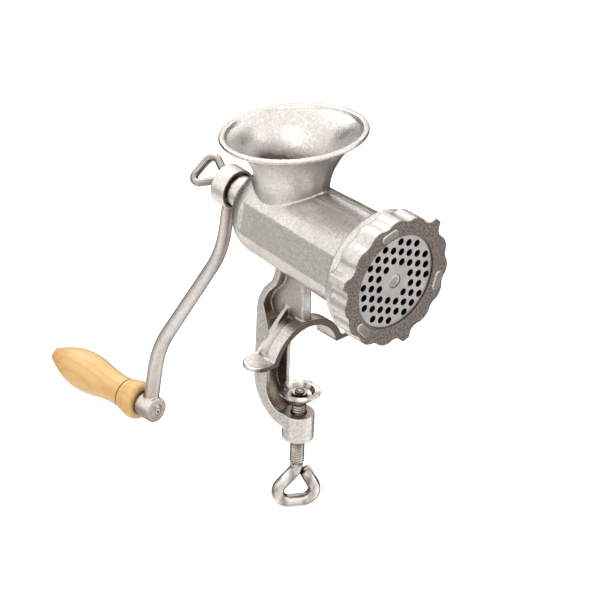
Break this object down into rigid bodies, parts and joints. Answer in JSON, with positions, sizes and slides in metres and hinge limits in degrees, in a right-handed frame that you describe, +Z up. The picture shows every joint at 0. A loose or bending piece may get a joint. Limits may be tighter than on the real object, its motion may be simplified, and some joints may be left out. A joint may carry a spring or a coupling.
{
  "type": "hand-cranked table-clamp meat grinder",
  "caption": "Tinned cast-iron hand meat grinder: hopper, barrel with screw ring and hole plate, crank with wooden handle, table clamp and screw",
  "frame": {"origin": "clamp screw axis at the height of the table top that the two feet stand on", "axes": "+X to the right seen from the plate end's back, +Y along the barrel to the crank end, +Z up; plate end faces -Y"},
  "size_m": [0.0932, 0.2878, 0.2701],
  "materials": {
    "cast": "tinned, satin, slightly uneven",
    "plate_steel": "ground, satin",
    "screw_cast": "tinned, rough in the grooves",
    "bright_steel": "zinc plated, bright",
    "washer": "turned, dull",
    "wood": "beech, clear varnish"
  },
  "bodies": {
    "casting": {"body_casting": "cast", "plate_key_pin": "plate_steel"},
    "feed": {"feed_screw": "screw_cast", "knife_stud": "plate_steel", "cross_knife": "plate_steel", "thrust_washer": "washer"},
    "plate": {"hole_plate": "plate_steel"},
    "ring": {"ring_nut": "cast"},
    "crank": {"crank_arm": "cast", "handle_spindle": "bright_steel", "handle_seat_washer": "bright_steel"},
    "crank_bolt": {"crank_screw": "bright_steel"},
    "handle": {"handle_grip": "wood", "handle_end_washer": "bright_steel"},
    "clamp_bolt": {"clamp_screw": "bright_steel"},
    "cup": {"clamp_cup": "bright_steel"}
  },
  "joints": [
    {"name": "crank_turn", "type": "hinge", "parent": "casting", "child": "feed", "pos_m": [0, 0, 0.0862], "axis": [0, 1, 0], "continuous": true},
    {"name": "crank_slide", "type": "slide", "parent": "feed", "child": "crank", "axis": [0, 1, 0], "range_m": [0, 0.005]},
    {"name": "crank_screw_turn", "type": "hinge", "parent": "crank", "child": "crank_bolt", "pos_m": [0, 0.08, 0.0862], "axis": [0, 1, 0], "range_deg": [-0.5, 1440.5]},
    {"name": "handle_spin", "type": "hinge", "parent": "crank", "child": "handle", "pos_m": [-0.02128, 0.1076, -0.0871], "axis": [-0.0043, 0.9994, -0.0346], "continuous": true},
    {"name": "plate_slide", "type": "slide", "parent": "casting", "child": "plate", "axis": [0, -1, 0], "range_m": [0, 0.009]},
    {"name": "ring_turn", "type": "hinge", "parent": "plate", "child": "ring", "pos_m": [0, -0.0813, 0.0862], "axis": [0, -1, 0], "range_deg": [-0.5, 1080.5]},
    {"name": "clamp_travel", "type": "slide", "parent": "casting", "child": "cup", "axis": [0, 0, 1], "range_m": [-0.007, 0.01663]},
    {"name": "clamp_turn", "type": "hinge", "parent": "cup", "child": "clamp_bolt", "pos_m": [0, 0, -0.06], "axis": [0, 0, 1], "range_deg": [-1440.5, 3420.5]}
  ],
  "couplings": [
    {"joint": "crank_screw_turn", "follows": "crank_slide", "rad_per_m": 5026.5},
    {"joint": "ring_turn", "follows": "plate_slide", "rad_per_m": 2094.4},
    {"joint": "clamp_turn", "follows": "clamp_travel", "rad_per_m": 3590.4}
  ]
}
